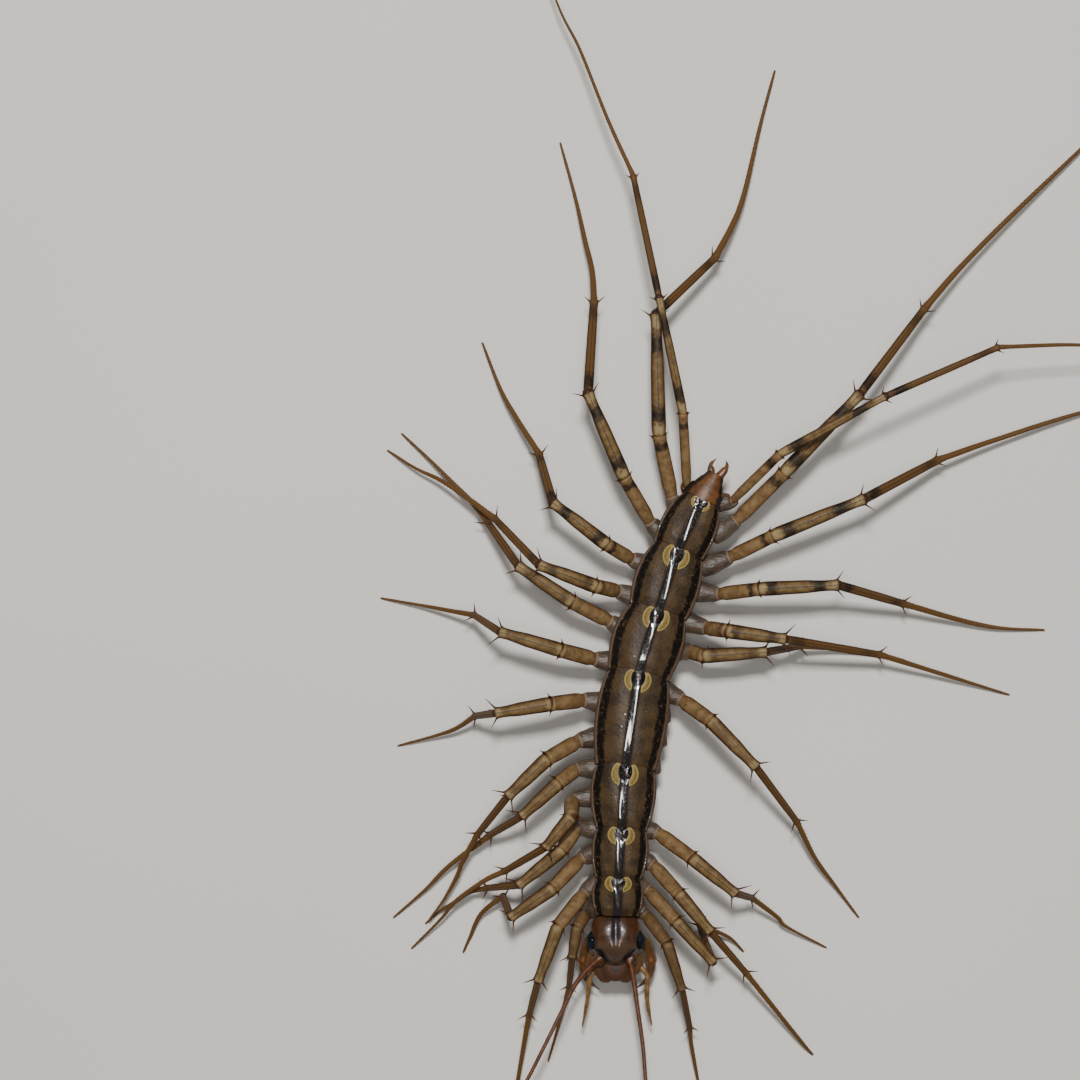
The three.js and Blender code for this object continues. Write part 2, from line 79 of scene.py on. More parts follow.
# Legs: hip root, hip, prefemur end, knee, ankle and the points of the tarsus, as place and height
LEGS = {
    "right_01": [(594, 908, 4.1), (586, 912, 3.7), (577, 928, 4.9), (572, 957, 4.9), (569, 987, 2.5),
                 (562, 1013, 1.2), (548, 1062, 0.12)],
    "right_02": [(596, 884, 4.3), (584, 893, 4.4), (558, 926, 5.6), (538, 981, 5.2), (529, 1015, 2.8),
                 (518, 1079, 1.0), (511, 1125, 0.12)],
    "right_03": [(592, 854, 4.1), (581, 858, 4.2), (553, 888, 5.6), (511, 917, 5.2), (503, 896, 2.2),
                 (481, 914, 1.2), (470, 937, 0.5), (463, 953, 0.12)],
    "right_04": [(590, 828, 4.1), (576, 828, 4.0), (562, 850, 4.9), (519, 885, 4.7), (487, 888, 2.4),
                 (470, 892, 1.5), (455, 902, 1.0), (440, 911, 0.55), (425, 924, 0.12)],
    "right_05": [(588, 797, 4.1), (572, 800, 4.3), (571, 817, 6.5), (546, 847, 6.2), (505, 871, 3.6),
                 (484, 881, 3.1), (456, 901, 2.3), (440, 920, 1.4), (411, 949, 0.12)],
    "right_06": [(590, 768, 4.1), (576, 769, 4.1), (558, 783, 5.3), (522, 816, 5.2), (490, 835, 2.4),
                 (449, 866, 1.4), (426, 889, 0.8), (393, 918, 0.12)],
    "right_07": [(592, 738, 4.1), (578, 741, 4.3), (547, 759, 6.0), (508, 796, 6.2), (477, 835, 3.6),
                 (463, 861, 2.5), (456, 878, 1.9), (443, 901, 1.4), (429, 920, 1.15)],
    "right_08": [(597, 702, 4.1), (583, 700, 4.3), (550, 704, 6.0), (496, 713, 6.0), (475, 716, 3.0),
                 (457, 728, 1.7), (438, 735, 1.0), (397, 746, 0.12)],
    "right_09": [(608, 661, 4.1), (594, 659, 4.3), (560, 650, 6.0), (500, 632, 6.2), (474, 615, 3.2),
                 (451, 611, 1.9), (425, 606, 1.0), (380, 598, 0.12)],
    "right_10": [(621, 629, 4.1), (609, 621, 4.2), (572, 602, 5.5), (518, 566, 5.4), (487, 521, 2.4),
                 (470, 500, 1.7), (456, 486, 1.3), (430, 460, 0.8), (401, 433, 0.12)],
    "right_11": [(633, 596, 4.1), (617, 591, 4.3), (595, 586, 6.2), (539, 565, 6.9), (494, 518, 3.7),
                 (466, 497, 2.7), (440, 480, 1.9), (415, 468, 1.1), (387, 450, 0.12)],
    "right_12": [(645, 564, 4.1), (631, 559, 4.3), (606, 544, 6.0), (553, 503, 6.4), (539, 454, 3.2),
                 (517, 419, 2.0), (501, 390, 1.1), (482, 342, 0.12)],
    "right_13": [(662, 534, 4.1), (650, 522, 4.2), (624, 477, 6.0), (588, 393, 6.8), (594, 301, 3.8),
                 (592, 270, 2.6), (585, 240, 1.7), (575, 196, 0.8), (560, 142, 0.12)],
    "right_14": [(678, 511, 4.0), (672, 497, 3.9), (659, 435, 5.4), (656, 314, 6.0), (715, 258, 3.8),
                 (732, 226, 2.8), (744, 194, 2.0), (760, 126, 0.9), (775, 70, 0.12)],
    "right_15": [(697, 494, 4.4), (687, 487, 4.5), (683, 413, 6.8), (659, 297, 8.2), (633, 175, 6.4),
                 (608, 120, 5.4), (580, 50, 4.2), (556, 0, 3.4), (520, -110, 2.4)],
    "left_01": [(638, 908, 4.1), (646, 915, 4.3), (667, 943, 5.6), (682, 989, 5.0), (690, 1028, 2.4),
                (691, 1042, 1.7), (697, 1075, 0.8), (704, 1112, 0.12)],
    "left_02": [(638, 884, 4.2), (648, 890, 4.2), (676, 921, 5.6), (713, 962, 5.2), (699, 924, 2.2),
                (710, 929, 1.8), (730, 938, 0.9), (744, 952, 0.12)],
    "left_03": [(642, 859, 4.2), (653, 865, 4.3), (679, 894, 5.9), (710, 931, 5.7), (746, 973, 3.4),
                (799, 1039, 0.9), (813, 1055, 0.12)],
    "left_04": [(645, 829, 4.2), (658, 833, 4.3), (692, 858, 5.9), (735, 893, 5.4), (752, 898, 3.0),
                (777, 917, 1.5), (787, 927, 1.1), (827, 948, 0.12)],
    "left_09": [(667, 692, 4.2), (682, 700, 4.3), (711, 721, 6.0), (756, 767, 6.4), (797, 822, 3.2),
                (815, 858, 1.8), (836, 887, 0.8), (859, 918, 0.12)],
    "left_10": [(676, 651, 4.0), (692, 652, 3.9), (704, 656, 5.0), (766, 652, 5.0), (800, 646, 2.1),
                (850, 650, 0.9), (905, 660, 0.12)],
    "left_11": [(688, 622, 4.2), (707, 628, 4.5), (728, 631, 6.3), (785, 639, 6.6), (881, 655, 3.2),
                (945, 675, 1.4), (1010, 695, 0.12)],
    "left_12": [(702, 592, 4.2), (719, 594, 4.3), (760, 589, 6.0), (838, 585, 6.4), (904, 604, 3.0),
                (960, 620, 1.3), (1000, 628, 0.7), (1045, 630, 0.12)],
    "left_13": [(712, 564, 4.2), (730, 557, 4.3), (773, 536, 5.8), (864, 499, 6.2), (938, 460, 3.0),
                (995, 440, 1.9), (1080, 413, 0.9), (1170, 392, 0.12)],
    "left_14": [(722, 530, 3.9), (736, 521, 3.8), (784, 473, 5.3), (860, 394, 6.2), (925, 308, 4.0),
                (958, 270, 3.0), (1005, 222, 2.0), (1080, 150, 0.9), (1150, 84, 0.12)],
    "left_15": [(718, 502, 4.4), (732, 501, 4.5), (780, 454, 6.8), (886, 396, 9.0), (999, 347, 8.2),
                (1080, 345, 7.0), (1150, 352, 5.8), (1215, 366, 4.6)],
}

# Hips whose legs are gone from the left side: hip root and the end of the stump
STUMPS = [
    [(642, 796, 4.1), (656, 797, 4.1)], [(646, 767, 4.1), (661, 766, 4.1)],
    [(650, 740, 4.1), (667, 739, 4.1)], [(656, 716, 4.1), (671, 715, 4.1)],
]

# Radii of prefemur, femur, tibia and tarsus, and how bold the dark bands are, by leg pair
BUILD = {
    1: (0.42, 0.36, 0.20, 0.13, 0.15),
    2: (0.46, 0.40, 0.22, 0.14, 0.2),
    3: (0.47, 0.42, 0.23, 0.14, 0.25),
    4: (0.48, 0.42, 0.23, 0.14, 0.3),
    5: (0.49, 0.43, 0.24, 0.145, 0.3),
    6: (0.49, 0.43, 0.24, 0.145, 0.3),
    7: (0.50, 0.44, 0.24, 0.145, 0.35),
    8: (0.50, 0.44, 0.24, 0.145, 0.35),
    9: (0.50, 0.44, 0.24, 0.145, 0.4),
    10: (0.49, 0.44, 0.25, 0.15, 0.6),
    11: (0.48, 0.44, 0.26, 0.15, 0.8),
    12: (0.46, 0.43, 0.28, 0.16, 1.0),
    13: (0.45, 0.43, 0.30, 0.165, 1.0),
    14: (0.46, 0.43, 0.28, 0.18, 1.0),
    15: (0.31, 0.28, 0.22, 0.11, 1.0),
}

# Feelers, palps and venom claws: place and height, and for the first two the radius
FEELERS = {
    "antenna_right": [
        (600, 958, 4.7, 0.26), (590, 967, 4.9, 0.22), (575, 985, 5.2, 0.17), (561, 1013, 5.3, 0.15),
        (535, 1065, 5.1, 0.14), (492, 1150, 4.4, 0.13), (462, 1240, 3.4, 0.11), (452, 1340, 2.4, 0.06)],
    "antenna_left": [
        (629, 958, 4.6, 0.26), (633, 976, 4.7, 0.2), (638, 1011, 4.6, 0.16), (643, 1047, 4.4, 0.15),
        (648, 1100, 4.2, 0.14), (664, 1190, 3.6, 0.13), (690, 1270, 2.9, 0.11), (724, 1350, 2.2, 0.06)],
}
PALPS = {
    "palp_right": [
        (599, 962, 3.7, 0.2), (590, 978, 3.5, 0.19), (588, 996, 3.2, 0.16), (582, 1029, 2.3, 0.07)],
    "palp_left": [
        (636, 962, 3.6, 0.2), (647, 976, 3.5, 0.19), (647, 999, 3.2, 0.16), (652, 1027, 2.3, 0.07)],
}
FORCIPULES = {
    "forcipule_right": [
        (604, 928, 3.0), (588, 944, 2.7), (583, 961, 2.5), (586, 978, 2.4), (600, 990, 2.4)],
    "forcipule_left": [
        (628, 928, 3.0), (645, 944, 2.7), (651, 961, 2.5), (648, 978, 2.4), (634, 990, 2.4)],
}

# Claspers of the tail: place, height and radius
GONOPODS = [
    [(711, 478, 4.6, 0.3), (711, 470, 4.65, 0.24), (711, 464, 4.65, 0.12), (717, 458, 4.5, 0.02)],
    [(718, 478, 4.6, 0.3), (724, 471, 4.65, 0.24), (727, 466, 4.65, 0.12), (726, 460, 4.5, 0.02)],
]

# The dark V on the head: its lean and how far back it reaches, from the head's centre
VEE_SLOPE = 0.84
VEE_REACH = 1.67

# Centres of the head and the eyes, as place and height
HEAD_CENTRE = (615.5, 937, 4.35)
EYES = {"eye_right": (592, 939.5, 4.62), "eye_left": (639.5, 939.5, 4.62)}


# Shape helpers

def place(px, py, z):
    scale = (VIEW_HEIGHT - z) / VIEW_HEIGHT / PIXELS_PER_MM
    return Vector(((px - VIEW_CENTRE) * scale - ORIGIN[0], (VIEW_CENTRE - py) * scale - ORIGIN[1], z))


def smooth(value, low, high):
    t = min(max((value - low) / (high - low), 0), 1)
    return t * t * (3 - 2 * t)


def profile(t, stops):
    """A smooth value between (place, value) stops"""
    for (a, low), (b, high) in zip(stops, stops[1:]):
        if t <= b:
            return low + (high - low) * smooth(t, a, b)
    return stops[-1][1]


def curve_point(points, t):
    """A point on a smooth curve through the points, with t counted in points"""
    last = len(points) - 1
    i = min(int(t), last - 1)
    f = t - i
    p1, p2 = points[i], points[i + 1]
    p0 = points[i - 1] if i else p1 * 2 - p2
    p3 = points[i + 2] if i + 2 <= last else p2 * 2 - p1
    return 0.5 * (2 * p1 + (p2 - p0) * f + (2 * p0 - 5 * p1 + 4 * p2 - p3) * f ** 2
                  + (3 * p1 - p0 - 3 * p2 + p3) * f ** 3)


def frame_at(along):
    side = UP.cross(along).normalized()
    return side, along.cross(side)


def layer_of(bm, name):
    return bm.verts.layers.float.get(name) or bm.verts.layers.float.new(name)


def tube(bm, line, radius, rows, sides, marks=None, section=None):
    """A closed tube: a grid wrapped round the points line(t), with radius(t), t from 0 to 1"""
    layers = {name: layer_of(bm, name) for name in (marks or {})}
    made = bmesh.ops.create_grid(bm, x_segments=sides, y_segments=rows, size=1)["verts"]
    centres = [line(i / rows) for i in range(rows + 1)]
    frames = []
    for i in range(rows + 1):
        along = (centres[min(i + 1, rows)] - centres[max(i - 1, 0)]).normalized()
        frames.append(frame_at(along))
    for v in made:
        turn = (v.co.x + 1) / 2
        row = round((v.co.y + 1) / 2 * rows)
        t = row / rows
        angle = (turn - 0.5) * 2 * math.pi
        side, up = frames[row]
        reach = 0 if row in (0, rows) else radius(t) * (section(turn, t) if section else 1)
        v.co = centres[row] + (side * math.sin(angle) + up * math.cos(angle)) * reach
        for name, mark in (marks or {}).items():
            v[layers[name]] = mark(turn - 0.5, t)
    bmesh.ops.remove_doubles(bm, verts=made, dist=1e-5)


def spike(bm, root, tip, radius, marks, sides=5):
    """A thin cone from root to tip, which carries the marks given"""
    lean = tip - root
    turn = lean.to_track_quat("Z", "Y").to_matrix().to_4x4()
    layers = {name: layer_of(bm, name) for name in marks}
    made = bmesh.ops.create_cone(
        bm, cap_ends=True, segments=sides, radius1=radius, radius2=radius * 0.12, depth=lean.length,
        matrix=Matrix.Translation((root + tip) / 2) @ turn)["verts"]
    for v in made:
        for name, value in marks.items():
            v[layers[name]] = value


def add_spikes(bm, spikes, marks):
    """Many thin three-sided cones, each as root, tip and radius, made in small batches"""
    for start in range(0, len(spikes), SPIKES_IN_BATCH):
        batch = bmesh.new()
        for root, tip, radius in spikes[start:start + SPIKES_IN_BATCH]:
            spike(batch, root, tip, radius, marks, 3)
        mesh = bpy.data.meshes.new("batch")
        batch.to_mesh(mesh)
        batch.free()
        bm.from_mesh(mesh)
        bpy.data.meshes.remove(mesh)


def remeshed(bm, grain):
    """One closed skin round all the shapes, as a new shape"""
    mesh = bpy.data.meshes.new("rough")
    bm.to_mesh(mesh)
    bm.free()
    rough = bpy.data.objects.new("rough", mesh)
    bpy.context.scene.collection.objects.link(rough)
    skin = rough.modifiers.new("skin", "REMESH")
    skin.mode = "VOXEL"
    skin.voxel_size = grain
    smoothing = rough.modifiers.new("relax", "SMOOTH")
    smoothing.factor = 0.5
    smoothing.iterations = 3
    mesh = bpy.data.meshes.new_from_object(rough.evaluated_get(bpy.context.evaluated_depsgraph_get()))
    bpy.data.objects.remove(rough)
    new = bmesh.new()
    new.from_mesh(mesh)
    bpy.data.meshes.remove(mesh)
    return new


def add_ball(bm, centre, radii, marks=None, detail=4):
    layers = {name: layer_of(bm, name) for name in (marks or {})}
    made = bmesh.ops.create_icosphere(bm, subdivisions=detail, radius=1)["verts"]
    for v in made:
        v.co = centre + Vector((v.co.x * radii[0], v.co.y * radii[1], v.co.z * radii[2]))
        for name, layer in layers.items():
            v[layer] = marks[name]


def finish_piece(name, bm, finish, nodes):
    """Turns a shape in millimetres into a piece in metres that stands for its CAD nodes"""
    bmesh.ops.scale(bm, vec=(MM, MM, MM), verts=bm.verts)
    bmesh.ops.recalc_face_normals(bm, faces=bm.faces)
    for face in bm.faces:
        face.smooth = True
    mesh = bpy.data.meshes.new(name)
    bm.to_mesh(mesh)
    bm.free()
    mesh.materials.append(finish)
    piece = bpy.data.objects.new(name, mesh)
    bpy.context.scene.collection.objects.link(piece)
    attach(piece, "root")
    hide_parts(*nodes)


# Finishes

class Number:
    """A number in a finish, with arithmetic that adds the nodes"""

    def __init__(self, finish, socket):
        self.finish = finish
        self.socket = socket

    def calculate(self, operation, *values):
        return self.finish.add("ShaderNodeMath", {"operation": operation}, values)

    def __add__(self, other):
        return self.calculate("ADD", self, other)

    def __sub__(self, other):
        return self.calculate("SUBTRACT", self, other)

    def __rsub__(self, other):
        return self.calculate("SUBTRACT", other, self)

    def __mul__(self, other):
        return self.calculate("MULTIPLY", self, other)

    __radd__ = __add__
    __rmul__ = __mul__

    def size(self):
        return self.calculate("ABSOLUTE", self)

    def least(self, other):
        return self.calculate("MINIMUM", self, other)

    def most(self, other):
        return self.calculate("MAXIMUM", self, other)

    def wave(self):
        return self.calculate("SINE", self)

    def fraction(self):
        return self.calculate("FRACT", self)

    def folded(self, size):
        return self.calculate("PINGPONG", self, size)


class Finish:
    """A material and the nodes that make it"""

    def __init__(self, name, roughness=0.4, **constants):
        self.material = bpy.data.materials.new(name)
        self.material.use_nodes = True
        self.nodes = self.material.node_tree.nodes
        self.links = self.material.node_tree.links
        self.shader = self.nodes["Principled BSDF"]
        self.shader.inputs["Roughness"].default_value = roughness
        for key, value in constants.items():
            self.shader.inputs[key.replace("_", " ").title().replace("Ior", "IOR")].default_value = value

    def add(self, kind, settings, values, output=0):
        node = self.nodes.new(kind)
        for key, value in settings.items():
            setattr(node, key, value)
        pairs = values.items() if isinstance(values, dict) else enumerate(values)
        for key, value in pairs:
            self.put(node.inputs[key], value)
        return Number(self, node.outputs[output])

    def put(self, socket, value):
        if isinstance(value, Number):
            self.links.new(value.socket, socket)
        else:
            socket.default_value = value

    def mark(self, name):
        return self.add("ShaderNodeAttribute", {"attribute_name": name}, {}, "Fac")

    def noise(self, size, detail=3, stretch=None):
        """Noise with features of about the given size in millimetres"""
        where = self.add("ShaderNodeTexCoord", {}, {}, "Object")
        if stretch:
            where = self.add("ShaderNodeMapping", {}, {"Vector": where, "Scale": stretch}, "Vector")
        values = {"Vector": where, "Scale": 1 / (size * MM), "Detail": detail}
        return self.add("ShaderNodeTexNoise", {}, values, "Fac")

    def cells(self, size):
        """Distance from the centre of cells of about the given size in millimetres"""
        where = self.add("ShaderNodeTexCoord", {}, {}, "Object")
        values = {"Vector": where, "Scale": 1 / (size * MM)}
        return self.add("ShaderNodeTexVoronoi", {}, values, "Distance")

    def step(self, value, low, high):
        settings = {"interpolation_type": "SMOOTHSTEP", "clamp": True}
        values = {"Value": value, "From Min": low, "From Max": high}
        return self.add("ShaderNodeMapRange", settings, values)

    def window(self, value, low, high, soft):
        rise = self.step(value, low - soft, low + soft)
        return rise * (1 - self.step(value, high - soft, high + soft))

    def mix(self, factor, first, second):
        return self.add("ShaderNodeMix", {"data_type": "RGBA"}, {0: factor, 6: first, 7: second}, 2)

    def colour(self, value):
        self.put(self.shader.inputs["Base Color"], value)

    def rough(self, value):
        self.put(self.shader.inputs["Roughness"], value)

    def coat(self, value):
        self.put(self.shader.inputs["Coat Weight"], value)

    def bump(self, height, distance, strength=1.0):
        """A bump of the given height in millimetres"""
        values = {"Height": height, "Distance": distance * MM, "Strength": strength}
        self.put(self.shader.inputs["Normal"], self.add("ShaderNodeBump", {}, values))


def tint(code):
    """A colour from its usual six letters, brought to linear light"""
    parts = [int(code[i:i + 2], 16) / 255 for i in (0, 2, 4)]
    return (*[((c + 0.055) / 1.055) ** 2.4 if c > 0.04 else c / 12.92 for c in parts], 1)


DARK = tint("0d0906")


def plate_finish():
    f = Finish("back_plate_chitin", coat_roughness=0.07, coat_ior=1.9, specular_ior_level=0.2)
    across, share, lobe, saddle = (f.mark(name) for name in ("across", "share", "lobe", "saddle"))
    blur = f.noise(0.4, 4) - 0.5
    fine = f.noise(0.1, 3) - 0.5
    edge = share.size() + blur * 0.2 + fine * 0.07
    brown = f.mix(f.step(f.noise(1.0, 5), 0.35, 0.65), tint("43331f"), tint("2d2216"))
    brown = f.mix(f.step(f.noise(0.14, 2), 0.55, 0.8) * 0.4, brown, tint("5e4a30"))
    brown = f.mix((1 - f.step(across.size(), 0.25, 0.6)) * 0.35, brown, tint("3a2412"))
    shade = f.mix(f.window(edge, 0.69, 0.89, 0.03), brown, DARK)
    patch = f.window(share.size(), 0.7, 0.88, 0.03) * f.step(f.noise(0.22, 2), 0.6, 0.68)
    shade = f.mix(patch * 0.55, shade, tint("5a4028"))
    shade = f.mix(f.step(share.size() + fine * 0.03, 0.90, 0.93), shade, tint("4c392b"))
    shade = f.mix(f.window(share.size(), 0.945, 0.965, 0.008), shade, tint("2e1a10"))
    # Darker reddish line along each plate's rear edge: partly the margin's own colour, partly painted
    # shade where the plate steps over the next
    shade = f.mix((1 - f.step(f.mark("rear"), 0.03, 0.08)) * 0.7, shade, tint("2a1408"))
    middle = 1 - f.step(across.size() + blur * 0.14, 0.2, 0.32)
    shade = f.mix(middle, shade, DARK)
    shade = f.mix(f.step(saddle + fine * 0.2, 0.0, 0.2), shade, DARK)
    shade = f.mix(f.step(saddle + fine * 0.2, 0.55, 0.8) * 0.22, shade, tint("5c2a16"))
    ochre = f.mix(f.step(lobe + fine * 0.3, 0.1, 0.35), tint("8e7c46"), tint("6a5626"))
    shade = f.mix(f.step(lobe, -0.02, 0.03), shade, ochre)
    f.colour(shade)
    shine = middle.most(f.step(saddle, 0, 0.2))
    f.rough(0.46 - shine * 0.28 + (f.noise(0.1, 3) - 0.5) * 0.25)
    grains = (1 - f.step(f.cells(0.24), 0.02, 0.3)) * f.step(f.noise(0.5, 3), 0.4, 0.5)
    f.coat((middle * (1 - f.step(saddle, 0, 0.2) * 0.8) + grains * 0.9).least(1))
    f.bump(f.noise(0.2, 4) * 0.9 + grains * (1 - shine) * 0.3 + shine * f.noise(0.1, 2) * 0.5, 0.026)
    return f.material


def leg_finish():
    f = Finish("leg_chitin", subsurface_weight=0.08, subsurface_scale=0.0004, specular_ior_level=0.22)
    along, turn, bold = (f.mark(name) for name in ("along", "turn", "bold"))
    blur = f.noise(0.28, 4) - 0.5
    rough_along = along + blur * 0.17
    tan = f.mix(f.step(f.noise(0.5, 4), 0.35, 0.65), tint("776040"), tint("624c30"))
    tan = f.mix(f.step(f.noise(0.3, 4), 0.52, 0.66) * 0.45, tan, tint("42301a"))
    femur = f.mix(f.step(f.noise(0.4, 4), 0.35, 0.65), tint("6e5a38"), tint("58452a"))
    shade = f.mix(f.step(along, 0.98, 1.02), tan, femur)
    shade = f.mix(f.step(along, 1.99, 2.02), shade, tint("523a1c"))
    shade = f.mix(f.step(along, 2.9, 3.1), shade, tint("523a1a"))
    warm = f.window(turn.size(), 0.1, 0.42, 0.08) * f.noise(0.4, 3)
    shade = f.mix(warm * 0.7, shade, tint("6c3e12"))
    pale = f.window(rough_along, 1.02, 1.1, 0.03).most(f.window(rough_along, 1.88, 1.97, 0.03))
    shade = f.mix(pale * (bold * 0.25 + 0.2), shade, tint("a08c64"))
    keel = (turn * KEELS).folded(0.5)
    line = (1 - f.step(keel, 0.03, 0.13)) * f.window(along, 1.1, 2.9, 0.04)
    dots = f.step((along * 150).wave() + f.noise(0.1, 1), 0.4, 0.9)
    shade = f.mix(line * (0.4 + bold * 0.2 + dots * 0.4).least(1), shade, tint("2c1408"))
    side = f.window(turn.size() + f.step(along, 0.95, 1.05) * 0.03, 0.15, 0.37, 0.05)
    side = side * f.window(along, 0.05, 2.95, 0.1)
    shade = f.mix(side * (f.noise(0.3, 3) * 0.5 + 0.55).least(1), shade, tint("24150a"))
    bands = f.window(rough_along, 0.77, 0.88, 0.045)
    for low, high in ((1.12, 1.25), (1.67, 1.83), (2.06, 2.2)):
        bands = bands.most(f.window(rough_along, low, high, 0.045))
    bands = bands.most(f.window(rough_along, 2.78, 2.92, 0.06) * 0.6)
    flank = f.step(turn.size() + blur * 0.3, 0.06, 0.2)
    reach = (bold + flank * 0.4 - 0.1).least(1) * (f.noise(0.25, 3) * 0.6 + 0.6).least(1)
    shade = f.mix(bands * bold.least(1) * reach, shade, DARK)
    sides = f.step(turn.size(), 0.1, 0.2) * 0.55 + 0.4
    rings = f.window(along, 0.985, 0.996, 0.004).most(f.window(along, 1.988, 1.999, 0.003))
    rings = rings.most(f.window(along, 2.98, 2.999, 0.006))
    shade = f.mix(rings * sides, shade, tint("4e260c"))
    rows = f.window((along * 30).fraction(), 0.0, 0.14, 0.06) * f.step(along, 3.1, 3.3)
    shade = f.mix(rows * 0.35, shade, tint("462810"))
    shade = f.mix(1 - f.step(along, -0.2, 0.03), shade, tint("6e5c4c"))
    shade = f.mix(f.step(along, 6, 7), shade, tint("421f0a"))
    first_pair = (1 - f.step(bold, 0.1, 0.22)) * (1 - f.step(along, 2.9, 3.1))
    shade = f.mix(first_pair * 0.75, shade, tint("3c2610"))
    f.colour(shade)
    f.rough(f.noise(0.15, 2) * 0.25 + 0.44)
    f.bump(f.noise(0.08, 3), 0.01)
    return f.material


def pleura_finish():
    f = Finish("side_membrane", subsurface_weight=0.2, subsurface_scale=0.0006)
    soft = f.mix(f.step(f.noise(0.8, 4), 0.35, 0.7), tint("483e33"), tint("332a21"))
    shade = f.mix(f.step(f.noise(0.25, 4), 0.55, 0.75) * 0.5, soft, tint("4a3022"))
    veins = f.noise(0.6, 3) - 0.5
    shade = f.mix((1 - f.step(veins.size(), 0.01, 0.05)) * 0.35, shade, tint("5a3418"))
    shade = f.mix(f.step(f.mark("tail"), 0.2, 0.8), shade, tint("4a2c10"))
    f.colour(shade)
    f.rough(f.noise(0.2, 2) * 0.2 + 0.36)
    f.bump(f.noise(0.35, 5, (1, 2.2, 1)), 0.07)
    return f.material


def head_finish():
    f = Finish("head_chitin", coat_roughness=0.1, specular_ior_level=0.3)
    across, back = f.mark("across"), f.mark("back")
    blur = f.noise(0.3, 3) - 0.5
    base = f.mix(f.step(f.noise(0.7, 4), 0.3, 0.7), tint("452c1c"), tint("2f1d12"))
    amber = f.step(across.size() + blur * 0.4, 0.85, 1.3) * f.step(back + blur * 0.3, -0.2, 0.5)
    shade = f.mix(amber * 0.6, base, tint("4a2a10"))
    vee = across.size() - back * VEE_SLOPE - VEE_REACH
    brow = (1 - f.step(vee, -0.15, 0.1)) * (1 - f.step(back + blur * 0.5, -0.5, 0.0))
    shade = f.mix(brow * 0.7, shade, tint("45362a"))
    stripe = (1 - f.step(across.size() + blur * 0.2, 0.2, 0.36)) * f.step(back + blur * 0.5, -0.45, 0.25)
    shade = f.mix(stripe * 0.9, shade, tint("191416"))
    arms = (1 - f.step(vee.size() + blur * 0.1, 0.15, 0.27)) * f.window(back, -1.55, -0.66, 0.06)
    shade = f.mix(arms * 0.95, shade, DARK)
    front = 1 - f.step(back + blur * 0.4, -1.9, -1.3)
    shade = f.mix(front * 0.8, shade, tint("3e2412"))
    spot = 1 - f.step((across * across + (back + 1.85) * (back + 1.85)) + blur * 0.1, 0.03, 0.14)
    shade = f.mix(spot * 0.85, shade, tint("20100a"))
    shade = f.mix(f.mark("under"), shade, tint("4e3418"))
    f.colour(shade)
    f.rough(f.noise(0.15, 3) * 0.15 + 0.28 + front * 0.25)
    f.coat(0.15 - front * 0.15)
    f.bump(f.noise(0.14, 3), 0.014)
    return f.material


def eye_finish():
    f = Finish("compound_eye", coat_weight=0.25, coat_roughness=0.08, coat_ior=1.35,
               specular_ior_level=0.0)
    # The eye colour mixes near-black with blue-grey patches: the blue-grey is a painted sheen, standing
    # in for the eye's reflection
    f.colour(f.mix(f.step(f.noise(0.4, 2), 0.3, 0.7), tint("0a0b0e"), tint("182028")))
    f.rough(f.noise(0.3, 2) * 0.1 + 0.3)
    f.bump(f.step(f.cells(0.055), 0.1, 0.6), 0.008, 0.8)
    return f.material


def feeler_finish(name, base, dark, rings):
    f = Finish(name, subsurface_weight=0.1, subsurface_scale=0.0003)
    along = f.mark("along")
    shade = f.mix(f.step(f.noise(0.3, 3), 0.3, 0.7), base, dark)
    if rings:
        ring = f.window((along * rings).fraction(), 0.0, 0.2, 0.08)
        shade = f.mix(ring * 0.4, shade, dark)
    f.colour(shade)
    f.rough(f.noise(0.15, 2) * 0.2 + 0.35)
    f.bump(f.noise(0.06, 2), 0.005)
    return f.material


def forcipule_finish():
    f = Finish("venom_claw_chitin", coat_weight=0.3, coat_roughness=0.15)
    along = f.mark("along")
    base = f.mix(f.step(f.noise(0.4, 3), 0.3, 0.7), tint("3e2810"), tint("4e3214"))
    shade = f.mix(f.window(along, 0.42, 0.56, 0.03), base, tint("54300e"))
    shade = f.mix(f.step(along, 0.75, 1.0), shade, tint("2a0f06"))
    f.colour(shade)
    f.rough(f.noise(0.2, 2) * 0.15 + 0.25)
    f.bump(f.noise(0.1, 3), 0.01)
    return f.material


def tail_finish():
    f = Finish("tail_chitin", coat_weight=0.1, coat_roughness=0.15)
    share = f.mark("share")
    base = f.mix(f.step(f.noise(0.4, 4), 0.35, 0.7), tint("643c18"), tint("442810"))
    shade = f.mix(f.step(share.size() + (f.noise(0.3, 3) - 0.5) * 0.3, 0.62, 0.8), base, DARK)
    f.colour(shade)
    f.rough(f.noise(0.2, 2) * 0.15 + 0.38)
    f.bump(f.noise(0.12, 4), 0.015)
    return f.material


def floor_finish():
    f = Finish("pale_floor", roughness=0.6)
    f.colour(f.mix(f.noise(40, 2), tint("bfbab3"), tint("c8c3bc")))
    return f.material


# Trunk

MEDIAN_POINTS = [place(px, py, 0) for px, py, _ in MEDIAN]
MEDIAN_WIDTHS = [Vector((half, 0, 0)) for _, _, half in MEDIAN]
PLATES = 7


def median(t):
    return curve_point(MEDIAN_POINTS, min(max(t, 0), len(MEDIAN) - 1))


def half_width(t):
    return curve_point(MEDIAN_WIDTHS, min(max(t, 0), len(MEDIAN) - 1)).x


def median_frame(t):
    along = (median(t + 0.02) - median(t - 0.02)).normalized()
    return frame_at(along)


# Radius along a hip, from its root to the ring that holds the leg
HIP_SHAPE = [(0, 0.6), (0.3, 0.7), (0.55, 0.56), (0.78, 0.4), (0.86, 0.47), (0.97, 0.38), (1, 0.28)]


